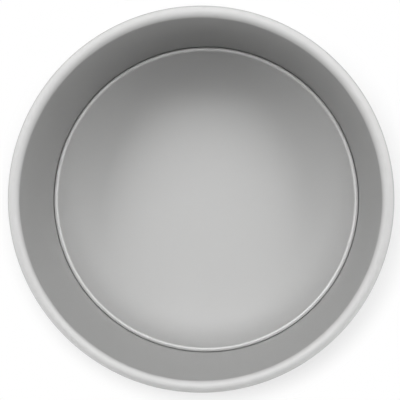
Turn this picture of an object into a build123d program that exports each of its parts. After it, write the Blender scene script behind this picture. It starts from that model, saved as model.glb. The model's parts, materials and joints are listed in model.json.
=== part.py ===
from build123d import *
import os
from math import acos, degrees, sin

# A deep round cake tin with a loose base, in satin anodised aluminium.
#
# The side is one seamless ring of sheet. At the top it is rolled outwards round a steel
# wire into a fat round rim, and at the foot it turns inwards into a narrow ledge. The
# base is a pressed plate with a low raised edge. It drops in from above, lies on the
# ledge, and is pushed up through the hole that the ledge leaves.
#
# Millimetres. The origin is the centre of the foot, on the surface the tin stands on,
# and +Z points up out of the mouth. Every piece is turned about the Z axis.

# The tin as a whole
bore_diameter = 203.2        # inside of the side: an 8 inch tin
tin_height = 76.2            # from the table to the top of the rim: 3 inches
edge_round_share = 0.25      # cut edges are rounded by this share of the sheet's thickness

# The side, at its foot
side_thickness = 1.2         # sheet of the side
ledge_width = 8.0            # from the bore in to the edge of the push-up hole
foot_bend_radius = 0.8       # inside of the bend between the side and its ledge

# The side, at its rolled rim
wire_diameter = 4.5          # steel wire inside the rim
wire_clearance = 0.1         # all round the wire, inside the roll
roll_gap = 0.4               # from the end of the roll to the outside of the side

# The loose base
base_thickness = 1.0         # sheet of the base
base_clearance = 0.3         # all round, between the base and the bore
base_bend_radius = 1.6       # inside of both bends of the raised edge
base_rise = 0.5              # from the floor up to the crest of the raised edge
base_edge_gap = 0.4          # from the lower corner of the base's cut edge to the ledge

# Places that follow from the sizes above
bore_radius = bore_diameter / 2
hole_radius = bore_radius - ledge_width
base_radius = bore_radius - base_clearance
rim_radius = wire_diameter / 2 + wire_clearance + side_thickness
rim_circle_radius = bore_radius + rim_radius
rim_circle_height = tin_height - rim_radius


def turned_sheet(path_at_depth, thickness, cut_ends):
    """A sheet with rounded cut edges, turned once about Z.

    path_at_depth gives the lines and arcs that run along the sheet at a depth below its
    upper face, drawn with X as the radius and Y as the height. cut_ends lists the ends of
    that path, 0 or 1, that are a cut edge and not the middle of the plate.
    """
    upper = path_at_depth(0)
    lower = path_at_depth(thickness)
    first_end = Line(upper[0] @ 0, lower[0] @ 0)
    last_end = Line(upper[-1] @ 1, lower[-1] @ 1)
    section = make_face([*upper, *lower, first_end, last_end])
    for end in cut_ends:
        cut = (first_end, last_end)[end]
        corners = section.vertices().sort_by_distance(cut @ 0.5)[:2]
        section = fillet(corners, radius=thickness * edge_round_share)
    return revolve(Plane.XZ * section, axis=Axis.Z)


def side_path(depth):
    """The side from the push-up hole out along the ledge, up the bore and round the wire.

    Its upper face is the one that the cake touches. The roll goes over the top and on
    until it comes back to the outside of the side.
    """
    ledge_height = side_thickness - depth
    bend_start = bore_radius - foot_bend_radius
    ledge = Line((hole_radius, ledge_height), (bend_start, ledge_height))
    foot_bend = JernArc(ledge @ 1, ledge % 1, radius=foot_bend_radius + depth, arc_size=90)
    upright = Line(foot_bend @ 1, (bore_radius + depth, rim_circle_height))
    end_share = (side_thickness + roll_gap - rim_radius) / rim_radius
    roll_sweep = 180 + degrees(acos(end_share))
    roll = JernArc(upright @ 1, upright % 1, radius=rim_radius - depth, arc_size=-roll_sweep)
    return [ledge, foot_bend, upright, roll]


def base_path(depth):
    """The plate from its middle out to the rise, up over the crest and down to its edge.

    The rise's inside is on the upper face and the crest's inside is below it. The crest
    falls away again until the lower corner of the cut edge is base_edge_gap above the
    ledge.
    """
    floor_height = side_thickness + base_thickness
    crest_radius = base_bend_radius + base_thickness
    bend_reach = base_bend_radius + crest_radius
    rise_turn = acos(1 - base_rise / bend_reach)
    fall_turn = acos(1 - (base_rise - base_edge_gap) / base_bend_radius)
    rise_start = base_radius - crest_radius * sin(fall_turn) - bend_reach * sin(rise_turn)
    floor = Line((0, floor_height - depth), (rise_start, floor_height - depth))
    rise = JernArc(floor @ 1, floor % 1, radius=base_bend_radius + depth, arc_size=degrees(rise_turn))
    crest_turn = degrees(rise_turn + fall_turn)
    crest = JernArc(rise @ 1, rise % 1, radius=crest_radius - depth, arc_size=-crest_turn)
    return [floor, rise, crest]


def make_side_wall():
    """The ring: ledge, foot bend, upright side and rolled rim, all one sheet."""
    return turned_sheet(side_path, side_thickness, cut_ends=[0, 1])


def make_rim_wire():
    """The wire that the rim is rolled round, as one closed ring."""
    return Pos(0, 0, rim_circle_height) * Torus(rim_circle_radius, wire_diameter / 2)


def make_loose_base():
    """The pressed plate: a flat floor with a raised and turned-down edge."""
    return turned_sheet(base_path, base_thickness, cut_ends=[1])


def write_part(name, solid):
    """Write one piece of the tin under its own name."""
    export_step(solid, f"parts/{name}.step")
    box = solid.bounding_box()
    print(name, "volume", round(solid.volume), "from", tuple(box.min), "to", tuple(box.max))


os.makedirs("parts", exist_ok=True)
write_part("side_wall", make_side_wall())
write_part("rim_wire", make_rim_wire())
write_part("loose_base", make_loose_base())
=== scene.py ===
# %% [markdown]
# # A deep round cake tin in satin anodised aluminium
#
# The real tin is three turned pieces: a side of sheet, rolled round a wire at the top and
# turned in at the foot, the wire itself, and a loose base that lies on the foot's ledge.
# The CAD model fixes their sizes and places. This script loads it as a frame, gives each
# piece a finer skin and its finish, and then sets the floor, the light and the camera.
# Blender works in metres here, and a tin is easier to think of in millimetres, so one
# name, mm, holds the unit.

# %% Load the frame
import json
from math import acos, ceil, copysign, cos, degrees, pi, radians, sin

import bmesh
import bpy
from mathutils import Matrix, Vector


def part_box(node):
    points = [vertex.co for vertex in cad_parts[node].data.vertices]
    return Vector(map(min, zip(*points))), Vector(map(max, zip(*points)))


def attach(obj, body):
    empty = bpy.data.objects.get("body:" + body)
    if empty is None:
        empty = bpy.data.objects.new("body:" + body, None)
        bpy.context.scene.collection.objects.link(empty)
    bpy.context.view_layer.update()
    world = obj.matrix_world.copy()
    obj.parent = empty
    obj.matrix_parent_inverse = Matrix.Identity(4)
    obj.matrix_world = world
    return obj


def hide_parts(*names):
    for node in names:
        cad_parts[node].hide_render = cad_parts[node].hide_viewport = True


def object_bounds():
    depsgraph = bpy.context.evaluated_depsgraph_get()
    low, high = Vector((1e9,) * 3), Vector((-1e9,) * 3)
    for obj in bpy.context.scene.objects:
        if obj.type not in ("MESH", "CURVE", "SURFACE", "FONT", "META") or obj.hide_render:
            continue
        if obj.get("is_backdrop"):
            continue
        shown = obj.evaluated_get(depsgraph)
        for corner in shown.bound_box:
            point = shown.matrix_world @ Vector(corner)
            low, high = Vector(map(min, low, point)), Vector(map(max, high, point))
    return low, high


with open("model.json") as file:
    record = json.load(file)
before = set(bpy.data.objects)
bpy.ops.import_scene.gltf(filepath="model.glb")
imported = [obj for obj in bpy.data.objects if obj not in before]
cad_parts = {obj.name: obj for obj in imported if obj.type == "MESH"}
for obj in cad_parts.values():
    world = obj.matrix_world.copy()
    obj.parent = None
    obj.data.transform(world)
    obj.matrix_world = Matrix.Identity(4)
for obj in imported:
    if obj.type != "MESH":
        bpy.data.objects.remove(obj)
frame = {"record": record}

cad_low, cad_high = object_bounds()
mm = 0.001


def in_mm(*lengths):
    """Lengths as millimetres, rounded to be printed."""
    return [round(length / mm, 2) for length in lengths]


print("CAD box:", in_mm(*cad_low, *cad_high), "mm")

# %% [markdown]
# ## Sizes
#
# The height of the tin and the hole in its foot come from the frame. The sheets, their
# bends and the gaps between the pieces are too small to read off a box, so they are
# written down as the sizes they are. Further on, each finished piece is measured beside
# its CAD box, so that it shows if the two ever part.

# %% Sizes
mounts = {mount["name"]: mount for mount in frame["record"]["mounts"]}
side_low, side_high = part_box("side_wall")
wire_low, wire_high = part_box("rim_wire")
base_low, base_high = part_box("loose_base")

tin_height = side_high.z
hole_radius = mounts["push_up_hole"]["dims"]["r_mm"] * mm
side_thickness = 1.2 * mm
ledge_width = 8.0 * mm
foot_bend_radius = 0.8 * mm
wire_radius = 2.25 * mm
wire_clearance = 0.1 * mm
roll_gap = 0.4 * mm
base_thickness = 1.0 * mm
base_clearance = 0.3 * mm
base_bend_radius = 1.6 * mm
base_rise = 0.5 * mm
base_edge_gap = 0.4 * mm
edge_round_share = 0.25

bore_radius = hole_radius + ledge_width
base_radius = bore_radius - base_clearance
floor_height = side_thickness + base_thickness
rim_radius = wire_radius + wire_clearance + side_thickness
rim_circle_radius = bore_radius + rim_radius
rim_circle_height = tin_height - rim_radius
rim_reach = rim_circle_radius + rim_radius
print("rim reaches", *in_mm(rim_reach), "mm, CAD", *in_mm(side_high.x), "mm")

# %% [markdown]
# ## The section of a bent sheet
#
# Bent sheet has the same thickness everywhere, so one line along its upper face says
# all there is to say about its shape. The line is a list of strokes, each a straight
# length or a bend of a radius through some degrees. Walking the same strokes a
# thickness deeper gives the lower face. A bend to the left opens away from the metal,
# so its radius grows with depth, and a bend to the right shrinks.

# %% Walk along a sheet
quarter_turn, half_turn = 90.0, 180.0    # degrees
bend_step = 6.0                          # degrees between points on a bend
straight_step = 5.0 * mm
support = 0.25 * mm                      # a point this near each bend keeps a flat's shading flat
least_supported = 3 * support            # a shorter straight has no room for such points


def straight(length):
    return (length, 0.0)


def bend(radius, angle):
    return (radius, angle)


def shares_along(length):
    """Where the points of a straight go, as shares of its length."""
    count = ceil(length / straight_step)
    inner = [i / count for i in range(1, count)]
    if length > least_supported:
        inner = [support / length, *inner, 1 - support / length]
    return [*inner, 1.0]


def walk(start, strokes, depth):
    """Points along a sheet at a depth below its upper face, starting straight outwards."""
    ahead = Vector((1.0, 0.0))
    here = start - Vector((0.0, depth))
    points = [here]
    for size, angle in strokes:
        if angle == 0.0:
            points += [here + ahead * size * share for share in shares_along(size)]
        else:
            way = copysign(1.0, angle)
            arm = Matrix.Rotation(radians(-quarter_turn) * way, 2) @ ahead * (size + way * depth)
            count = ceil(abs(angle) / bend_step)
            spins = [Matrix.Rotation(radians(angle) * i / count, 2) for i in range(1, count + 1)]
            points += [here - arm + spin @ arm for spin in spins]
            ahead = spins[-1] @ ahead
        here = points[-1]
    return points


# %% [markdown]
# ## Cut edges
#
# A cut edge of the sheet is square with its two corners taken off, as tumbling or a
# deburring wheel leaves it. Bevelling the turned mesh would do that too, but rounding
# the flat section first costs a few points and is exact.

# %% Round a cut edge
edge_steps = 4
edge_reach_share = 1.05    # a face's own points stay this many rounding radii from its edges


def cut_edge(face, far_face, radius):
    """The points round a cut edge, from the end of one face over to the end of the other."""
    corner, far_corner = face[-1], far_face[-1]
    across = (far_corner - corner).normalized() * radius
    back = Vector((across.y, -across.x))
    quarter = [radians(quarter_turn) * i / edge_steps for i in range(edge_steps + 1)]
    near = [corner + across * (1 - cos(a)) + back * (1 - sin(a)) for a in quarter]
    far = [far_corner - across * (1 - sin(a)) + back * (1 - cos(a)) for a in quarter]
    return near + far


def clear_of_edges(face, radius, from_axis):
    """The points of a face that lie clear of its rounded ends. An end on the axis isn't one."""
    ends = [face[-1]] if from_axis else [face[0], face[-1]]
    reach = radius * edge_reach_share
    return [point for point in face if all((point - end).length > reach for end in ends)]


def sheet_section(start, strokes, thickness, from_axis=False):
    """The outline of a sheet. It is closed unless the sheet starts on the axis."""
    radius = thickness * edge_round_share
    upper = walk(start, strokes, 0.0)
    lower = walk(start, strokes, thickness)
    last = cut_edge(upper, lower, radius)
    first = [] if from_axis else cut_edge(lower[::-1], upper[::-1], radius)
    above = clear_of_edges(upper, radius, from_axis)
    below = clear_of_edges(lower, radius, from_axis)
    return above + last + below[::-1] + first


# %% [markdown]
# ## Turn a section into a piece
#
# A lathe makes round things. Blender's two are the Screw modifier and the spin
# operator, and both would do. Here the rings are written point by point, because that
# takes a fraction of a second where the spin of so fine a section takes several, and
# because it lets a point on the axis stay one point, so that the plate's middle closes
# with no hole and no ring of faces without area.

# %% Turn a section
round_steps = 288
on_axis = 0.001 * mm    # a point nearer to the axis than this lies on it


def ring_of(form, point):
    """One point of the section, turned. On the axis all its copies are the same point."""
    if point.x < on_axis:
        return [form.verts.new((0.0, 0.0, point.y))] * round_steps
    turns = [2 * pi * i / round_steps for i in range(round_steps)]
    return [form.verts.new((point.x * cos(a), point.x * sin(a), point.y)) for a in turns]


def turn(name, section, closed=True):
    """A piece turned about Z from a section whose points are radius and height."""
    mesh = bpy.data.meshes.new(name)
    form = bmesh.new()
    rings = [ring_of(form, point) for point in section]
    pairs = list(zip(rings, rings[1:] + rings[:1]))
    for ring, after in pairs if closed else pairs[:-1]:
        for i in range(round_steps):
            corners = dict.fromkeys((ring[i], ring[i - 1], after[i - 1], after[i]))
            if len(corners) > 2:
                form.faces.new(list(corners))
    bmesh.ops.recalc_face_normals(form, faces=form.faces[:])
    form.to_mesh(mesh)
    form.free()
    mesh.shade_smooth()
    piece = bpy.data.objects.new(name, mesh)
    bpy.context.scene.collection.objects.link(piece)
    print(name, "has", len(mesh.polygons), "faces")
    return piece


def compare(piece, low, high):
    """Prints the size of a piece and that of the CAD box that it fills."""
    print(piece.name, in_mm(*piece.dimensions), "mm, CAD", in_mm(*(high - low)), "mm")


# %% [markdown]
# ## The side
#
# The side starts as a drawn cup with its bottom cut out. What is left of the bottom is
# the ledge. The roll goes round the wire until it comes back to the outside of the
# side, where it stops a hair short, as a real roll does.

# %% The side
def build_side():
    foot = straight(ledge_width - foot_bend_radius)
    foot_bend = bend(foot_bend_radius, quarter_turn)
    upright = straight(rim_circle_height - side_thickness - foot_bend_radius)
    roll_turn = -half_turn - degrees(acos((side_thickness + roll_gap - rim_radius) / rim_radius))
    strokes = [foot, foot_bend, upright, bend(rim_radius, roll_turn)]
    start = Vector((hole_radius, side_thickness))
    return turn("side_sheet", sheet_section(start, strokes, side_thickness))


side = build_side()
compare(side, side_low, side_high)
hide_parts("side_wall")
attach(side, "tin")

# %% [markdown]
# ## The wire in the rim
#
# Only the mouth of the roll, under the rim, could ever show it. A turned circle is
# enough.

# %% The wire
wire_steps = 40


def build_wire():
    centre = Vector((rim_circle_radius, rim_circle_height))
    arm = Vector((wire_radius, 0.0))
    spins = [Matrix.Rotation(2 * pi * i / wire_steps, 2) for i in range(wire_steps)]
    return turn("wire_ring", [centre + spin @ arm for spin in spins])


wire = build_wire()
compare(wire, wire_low, wire_high)
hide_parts("rim_wire")
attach(wire, "tin")

# %% [markdown]
# ## The loose base
#
# The press raises the plate's edge into a low crest and turns it down again. The crest
# is what the photograph shows as a bright line round the floor: its inner slope looks
# up at the open mouth, while the drop outside it, and the gap, see only the side.

# %% The loose base
def build_base():
    crest_radius = base_bend_radius + base_thickness
    bend_reach = base_bend_radius + crest_radius
    rise_turn = acos(1 - base_rise / bend_reach)
    fall_turn = acos(1 - (base_rise - base_edge_gap) / base_bend_radius)
    flat = straight(base_radius - crest_radius * sin(fall_turn) - bend_reach * sin(rise_turn))
    rise = bend(base_bend_radius, degrees(rise_turn))
    crest = bend(crest_radius, -degrees(rise_turn + fall_turn))
    start = Vector((0.0, floor_height))
    section = sheet_section(start, [flat, rise, crest], base_thickness, from_axis=True)
    return turn("base_plate", section, closed=False)


base = build_base()
compare(base, base_low, base_high)
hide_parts("loose_base")
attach(base, "base")

# %% [markdown]
# ## Finishes as expressions
#
# A finish is arithmetic on patterns, so it reads best as arithmetic. Signal wraps one
# output socket, and its operators add the Math nodes. Finish holds the nodes of one
# material, and its new_node method makes every one of them: settings first, then the
# sockets. Its other methods are short names for the nodes that this tin needs.

# %% Signals and finishes
class Signal:
    """An output socket, most often one that carries a number."""

    def __init__(self, finish, socket):
        self.finish = finish
        self.socket = socket

    def math(self, operation, *terms):
        return self.finish.add("ShaderNodeMath", {"operation": operation}, dict(enumerate(terms)))

    def root(self):
        return self.math("SQRT", self)

    def between(self, low, high):
        """0 up to low, 1 from high on, and a soft step from one to the other."""
        sockets = {"Value": self, "From Min": low, "From Max": high}
        return self.finish.add("ShaderNodeMapRange", {"interpolation_type": "SMOOTHSTEP"}, sockets)

    def __add__(self, other):
        return self.math("ADD", self, other)

    def __sub__(self, other):
        return self.math("SUBTRACT", self, other)

    def __rsub__(self, other):
        return self.math("SUBTRACT", other, self)

    def __mul__(self, other):
        return self.math("MULTIPLY", self, other)

    __radd__ = __add__
    __rmul__ = __mul__


class Finish:
    """The node tree of one material, or of the world."""

    def __init__(self, tree):
        self.tree = tree
        self.tree.nodes.clear()

    def new_node(self, kind, settings=None, sockets=None):
        """A node of a kind, with its settings and then its sockets set or linked."""
        node = self.tree.nodes.new(kind)
        for key, value in (settings or {}).items():
            setattr(node, key, value)
        for key, value in (sockets or {}).items():
            if isinstance(value, Signal):
                self.tree.links.new(value.socket, node.inputs[key])
            else:
                node.inputs[key].default_value = value
        return node

    def add(self, kind, settings=None, sockets=None, output=0):
        """A new node's output as a signal."""
        return Signal(self, self.new_node(kind, settings, sockets).outputs[output])

    def place(self, output="Object"):
        return self.add("ShaderNodeTexCoord", output=output)

    def share(self, vector, axis):
        """One of the three numbers of a vector."""
        return self.add("ShaderNodeSeparateXYZ", sockets={0: vector}, output=axis)

    def vector(self, x, y, z):
        return self.add("ShaderNodeCombineXYZ", sockets={0: x, 1: y, 2: z})

    def noise(self, where, size, detail=2.0):
        """Noise from 0 to 1 whose blobs are about a size across."""
        sockets = {"Vector": where, "Scale": 1 / size, "Detail": detail}
        return self.add("ShaderNodeTexNoise", sockets=sockets)

    def blend(self, share, plain, other):
        """A colour on the way from a plain one to another."""
        sockets = {"Factor": share, "A": plain, "B": other}
        return self.add("ShaderNodeMix", {"data_type": "RGBA"}, sockets, output="Result")

    def relief(self, height, depth):
        """A normal for a surface on which a height of 1 stands for a real depth."""
        sockets = {"Height": height, "Distance": depth}
        return self.add("ShaderNodeBump", sockets=sockets, output="Normal")

    def metal(self, colour, roughness, normal):
        """The shader of a metal."""
        sockets = {"Base Color": colour, "Metallic": 1.0, "Roughness": roughness, "Normal": normal}
        return self.add("ShaderNodeBsdfPrincipled", sockets=sockets)


def new_material(name, shader_of):
    """A material whose surface is the shader that shader_of makes with a Finish."""
    material = bpy.data.materials.new(name)
    material.use_nodes = True
    finish = Finish(material.node_tree)
    finish.new_node("ShaderNodeOutputMaterial", sockets={"Surface": shader_of(finish)})
    print(name, "has", len(material.node_tree.nodes), "nodes")
    return material


# %% [markdown]
# ## Where on the metal
#
# A press and a lathe leave their marks round the axis, and wear follows the shape too:
# it comes on edges, on the foot and where pieces rub. So the finishes are drawn on two
# numbers, the distance from the axis and the height, which come from the Object
# coordinates in metres. That needs no unwrapping, and a size in the finish is a size on
# the tin.

# %% Where on the metal
class Spot:
    """A place on a turned piece: where it is, how far from the axis, and how high."""

    def __init__(self, finish):
        self.where = finish.place()
        x, y, self.height = (finish.share(self.where, axis) for axis in "XYZ")
        self.radius = (x * x + y * y).root()
        self.round_ring = finish.vector(self.radius, 0.0, self.height)


# %% [markdown]
# ## Satin anodised aluminium
#
# The sheet is etched matt and then anodised, which leaves a hard grey skin with a very
# fine, even grain. Four things keep it from looking like grey plastic. The grain is a
# shallow relief a quarter of a millimetre wide. The press leaves faint rings, too
# shallow to see except in the gloss. The skin's tone drifts a little over a hand's
# width. And some places are lighter: where a tool burnished the metal it is smoother
# too, and where the rim was rolled, and is held and wiped, it is lighter but more matt.
# On the bead's top and on the base's crest that lighter colour is also a painted
# highlight, besides the wear.
# All of it is kept faint, because the tin in the photograph is clean and new.

# %% Satin anodised aluminium
satin_grey, satin_roughness = (0.56, 0.56, 0.557, 1.0), 0.6
# lighter metals: real burnish and wear, and on the bead's top and the base's crest also a painted
# highlight
burnish_and_highlight = {"grey": (0.7, 0.7, 0.697, 1.0), "rougher": -0.2, "lined": 0.2}
rolled_wear_and_highlight = {"grey": (0.74, 0.74, 0.737, 1.0), "rougher": 0.22, "lined": 0.4}
grain_size, grain_depth = 0.25 * mm, 0.015 * mm
ring_size, ring_depth = 0.7 * mm, 0.008 * mm
cloud_size, patch_size = 45.0 * mm, 6.0 * mm
tone_change, roughness_change, patch_change = 0.15, 0.05, 0.15
patch_from, all_patch_from = 0.3, 0.7
ragged = 4.0                           # detail of a noise whose blobs have ragged edges
noise_middle = 0.5                     # what a noise is on average
ring_weight, grain_weight = 0.5, 0.5   # in the drift, where the clouds weigh 1
drift_middle = noise_middle * (1 + ring_weight + grain_weight)


def satin_anodised(finish, spot, share, light_metal):
    """Anodised sheet that turns into a lighter metal by the share given."""
    grain = finish.noise(spot.where, grain_size)
    rings = finish.noise(spot.round_ring, ring_size)
    clouds = finish.noise(spot.where, cloud_size)
    drift = clouds + ring_weight * rings + grain_weight * grain - drift_middle
    patchy = finish.noise(spot.where, patch_size, detail=ragged).between(patch_from, all_patch_from)
    lines = light_metal["lined"] * (rings - noise_middle)
    light = share * (1 - patch_change * patchy + lines)
    colour = finish.blend(light + tone_change * drift, satin_grey, light_metal["grey"])
    roughness = satin_roughness + roughness_change * drift + light_metal["rougher"] * light
    height = grain + ring_depth / grain_depth * rings
    return finish.metal(colour, roughness, finish.relief(height, grain_depth))


# %% [markdown]
# ## The side's finish
#
# The rolled bead is what hands and cloths touch, and it is lighter from its inner edge
# over its top, partly as that wear and partly as a painted highlight. Its outer flank
# stays satin, and beside the painted highlight that draws a thin painted dark outline
# round the rim. The edge of the push-up hole was deburred, and the foot slides on oven
# shelves. Each is a soft step on a distance or a height, and the largest of them wins.

# %% The side's finish
flank_from, all_flank_from = 5.6 * mm, 6.5 * mm         # outwards from the bore
bead_from, all_bead_from = 2.8 * mm, 1.7 * mm           # down from the top
all_foot_to, foot_to = 0.05 * mm, 0.25 * mm             # up from the ground
all_hole_edge_to, hole_edge_to = 0.1 * mm, 0.4 * mm     # outwards from the hole
foot_wear, hole_edge_wear = 0.5, 0.8


def most(first, *others):
    for other in others:
        first = first.math("MAXIMUM", first, other)
    return first


def side_finish(finish):
    spot = Spot(finish)
    flank = spot.radius.between(bore_radius + flank_from, bore_radius + all_flank_from)
    # painted highlight and handling wear: the bead is lighter from its inner edge over its top, and
    # leaving out its outer flank paints a thin dark outline
    bead_highlight_and_wear = spot.height.between(tin_height - bead_from, tin_height - all_bead_from) * (1 - flank)
    foot = 1 - spot.height.between(all_foot_to, foot_to)
    hole_edge = 1 - spot.radius.between(hole_radius + all_hole_edge_to, hole_radius + hole_edge_to)
    light = most(bead_highlight_and_wear, foot_wear * foot, hole_edge_wear * hole_edge)
    return satin_anodised(finish, spot, light, rolled_wear_and_highlight)


side.data.materials.append(new_material("satin_side", side_finish))

# %% [markdown]
# ## The base's finish
#
# The slope of the raised edge is the bright ring that shows round the floor. Most of its
# light comes from its tilt, and the rest from a lighter colour on the crest, partly the
# press tool's burnish, which also left it smoother than the flat, and partly a painted
# highlight. The cut edge was deburred, so it is the lightest place of all, and the
# lighter band reaches in over the crest's outer drop as painted light on its shade.
# Underneath, the plate is rubbed where it lies on the ledge.

# %% The base's finish
crest_from, all_crest_from = 0.05 * mm, 0.3 * mm        # up from the floor
cut_from, all_cut_from = 0.9 * mm, 0.5 * mm             # inwards from the base's edge
all_under_to, under_to = 0.05 * mm, 0.15 * mm           # up from the ledge
rubbed_from, all_rubbed_from = 0.1 * mm, 0.6 * mm       # outwards from the hole
# the crest's lighter colour is partly burnish and partly painted highlight; the rubbing under the
# plate is wear
crest_highlight_and_burnish, rubbed_wear = 0.45, 0.4


def base_finish(finish):
    spot = Spot(finish)
    crest = spot.height.between(floor_height + crest_from, floor_height + all_crest_from)
    # deburred edge wear, and over the crest's outer drop painted light on its shade
    cut_wear_and_painted_light = spot.radius.between(base_radius - cut_from, base_radius - all_cut_from)
    under = 1 - spot.height.between(side_thickness + all_under_to, side_thickness + under_to)
    on_ledge = spot.radius.between(hole_radius + rubbed_from, hole_radius + all_rubbed_from)
    light = most(crest_highlight_and_burnish * crest, cut_wear_and_painted_light, rubbed_wear * under * on_ledge)
    return satin_anodised(finish, spot, light, burnish_and_highlight)


base.data.materials.append(new_material("satin_base", base_finish))

# %% [markdown]
# ## The wire's finish
#
# Drawn steel wire is smooth and has fine lines along its length. Along this wire means
# round the axis, so its lines lie on the same rings, only finer. Slow stains make it
# lighter and duller in places.

# %% The wire's finish
wire_grey = (0.42, 0.41, 0.4, 1.0)
stained_grey = (0.56, 0.55, 0.54, 1.0)
wire_line_size, wire_line_depth = 0.12 * mm, 0.004 * mm
stain_size = 12.0 * mm
wire_roughness, stain_roughness = 0.28, 0.15


def wire_finish(finish):
    spot = Spot(finish)
    lines = finish.noise(spot.round_ring, wire_line_size)
    stains = finish.noise(spot.where, stain_size, detail=ragged)
    colour = finish.blend(stains, wire_grey, stained_grey)
    roughness = wire_roughness + stain_roughness * stains
    return finish.metal(colour, roughness, finish.relief(lines, wire_line_depth))


wire.data.materials.append(new_material("drawn_wire", wire_finish))

# %% [markdown]
# ## The white floor
#
# The photograph's ground is plain white with only a faint shadow close to the rim. Paper
# under soft lamps is never quite as even as that. So the paper also glows, but only for
# rays that look at it: camera rays, and the glossy and transmitted rays by which metal
# or glass would show it. It throws no extra light on the tin. Near the tin a good share
# of it is plain paper, which keeps the tin's shadow, and further out it is all glow.

# %% The floor
floor_width = 8.0                         # in metres
paper_white = (0.9, 0.9, 0.9, 1.0)
glow_white, glow_strength = (1.0, 1.0, 1.0, 1.0), 1.0
least_glow = 0.4
glow_from, all_glow_from = 0.124, 0.144   # metres from the tin's axis


def glowing_paper(finish):
    paper = finish.add("ShaderNodeBsdfDiffuse", sockets={"Color": paper_white})
    glow_sockets = {"Color": glow_white, "Strength": glow_strength}
    glow = finish.add("ShaderNodeEmission", sockets=glow_sockets)
    rays = ("Is Camera Ray", "Is Glossy Ray", "Is Transmission Ray")
    seen = sum(finish.add("ShaderNodeLightPath", output=ray) for ray in rays)
    away = Spot(finish).radius.between(glow_from, all_glow_from)
    share = seen * (least_glow + (1 - least_glow) * away)
    return finish.add("ShaderNodeMixShader", sockets={0: share, 1: paper, 2: glow})


def build_floor():
    bpy.ops.mesh.primitive_plane_add(size=floor_width, location=(0.0, 0.0, 0.0))
    floor = bpy.context.object
    floor.name = "floor"
    floor.data.materials.append(new_material("white_floor", glowing_paper))
    return floor


floor = build_floor()
floor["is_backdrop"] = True

# %% [markdown]
# ## The lamps
#
# A metal tin shows its lamps, so their places matter more than their power. The bright
# patch on the tin's floor is narrow at the top and wide at the bottom. A small softbox
# overhead, a little in front of the tin, makes its top, and the lamps behind make it
# spread: a large one straight behind, and at each side one beside the tin and one in the
# back corner. They also leave the far wall dark and the near wall bright. A low strip at
# each front corner lights the bead and shades the outside of the side softly. Such a
# strip could stand in a low view of the tin, so the lamps are hidden from the camera.
#
# Each lamp is given by what it looks like from the tin: its place and size in metres, and
# how bright its face is, where 1 is white. A flat lamp of area A with a face of brightness
# g needs pi * A * g watts.

# %% The lamps
overhead_lamp = {"centre": (0.0, -0.23, 1.0), "width": 0.6, "height": 0.25, "brightness": 4.2}
back_lamp = {"centre": (0.0, 0.95, 1.15), "width": 1.8, "height": 0.9, "brightness": 2.1}
side_lamp = {"centre": (0.9, 0.3, 1.0), "width": 0.8, "height": 0.8, "brightness": 2.9}
corner_lamp = {"centre": (0.9, 0.8, 1.0), "width": 0.8, "height": 0.8, "brightness": 1.2}
front_strip = {"centre": (0.9, -0.8, 0.25), "width": 0.3, "height": 0.5, "brightness": 4.0}
hands = {"left": -1.0, "right": 1.0}
middle_of_tin = Vector((0.0, 0.0, tin_height / 2))


def softbox(name, centre, width, height, brightness, hand=1.0):
    """A rectangular soft lamp that faces the tin. A hand of -1 puts it on the left."""
    lamp = bpy.data.lights.new(name, "AREA")
    lamp.shape = "RECTANGLE"
    lamp.size = width
    lamp.size_y = height
    lamp.energy = pi * width * height * brightness
    x, y, z = centre
    place = Vector((hand * x, y, z))
    holder = bpy.data.objects.new(name, lamp)
    holder.location = place
    holder.rotation_euler = (place - middle_of_tin).to_track_quat("Z", "Y").to_euler()
    holder.visible_camera = False
    bpy.context.scene.collection.objects.link(holder)
    print(name, "lamp,", round(lamp.energy, 2), "W")


softbox("overhead", **overhead_lamp)
softbox("behind", **back_lamp)
for name, hand in hands.items():
    softbox(name, hand=hand, **side_lamp)
    softbox(name + "_corner", hand=hand, **corner_lamp)
    softbox(name + "_strip", hand=hand, **front_strip)

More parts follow.
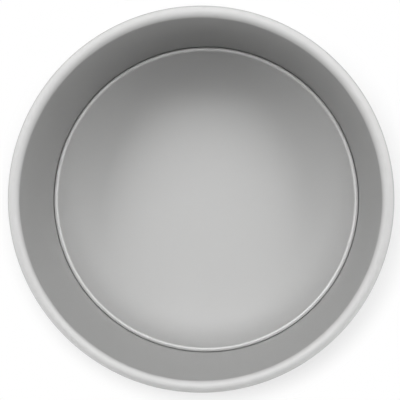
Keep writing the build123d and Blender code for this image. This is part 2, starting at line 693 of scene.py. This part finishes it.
# %% [markdown]
# ## The room
#
# The rolled rim is bright on every side, so the room is white all round at the height of
# the tin. The walls inside the tin, which look higher up, are darker, so the room grows
# dim from there, and the lamps do the rest. A world whose colour follows the height of a
# direction is such a room. Generated coordinates of a world are that direction, and its
# Z is the height: 0 at the horizon and 1 straight up.

# %% The room
white_up_to, dim_from = 0.18, 0.25
wall_brightness, dim_ceiling = 1.0, 0.0


def build_room():
    world = bpy.data.worlds.new("pale_room")
    bpy.context.scene.world = world
    world.use_nodes = True
    room = Finish(world.node_tree)
    sockets = {"Value": room.share(room.place("Generated"), "Z"),
               "From Min": white_up_to, "From Max": dim_from,
               "To Min": wall_brightness, "To Max": dim_ceiling}
    white = room.add("ShaderNodeMapRange", sockets=sockets)
    background = room.add("ShaderNodeBackground", sockets={"Color": white})
    room.new_node("ShaderNodeOutputWorld", sockets={"Surface": background})
    print(world.name, "has", len(world.node_tree.nodes), "nodes")


build_room()

# %% [markdown]
# ## Camera
#
# The photograph looks almost straight down with its top edge along +Y. A tracking
# constraint can't hold that, because the way it picks its up direction fails when the
# view is vertical, so the camera's three axes are written out.

# %% Camera
eye = Vector((22.49, -1.1, 454.5)) * mm
aim = Vector((1.23, -0.52, 76.2)) * mm
photo_top = Vector((0.0, 1.0, 0.0))
lens, sensor_width = 61.22, 36.0    # in the millimetres that Blender gives a camera


def build_camera():
    camera = bpy.data.objects.new("camera", bpy.data.cameras.new("camera"))
    bpy.context.scene.collection.objects.link(camera)
    camera.data.lens = lens
    camera.data.sensor_width = sensor_width
    back = (eye - aim).normalized()
    right = photo_top.cross(back).normalized()
    up = back.cross(right)
    camera.matrix_world = Matrix.Translation(eye) @ Matrix((right, up, back)).transposed().to_4x4()
    bpy.context.scene.camera = camera
    print("camera", *in_mm((eye - aim).length), "mm from what it looks at")


build_camera()
bpy.context.scene.view_settings.view_transform = "Standard"

# %% [markdown]
# ## The dressed box
#
# Both boxes are written down, the CAD model's and that of the finer skins, so that a skin
# that has grown or moved shows in the numbers.

# %% The dressed box
visual_low, visual_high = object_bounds()
print("dressed box:", in_mm(*visual_low, *visual_high), "mm")
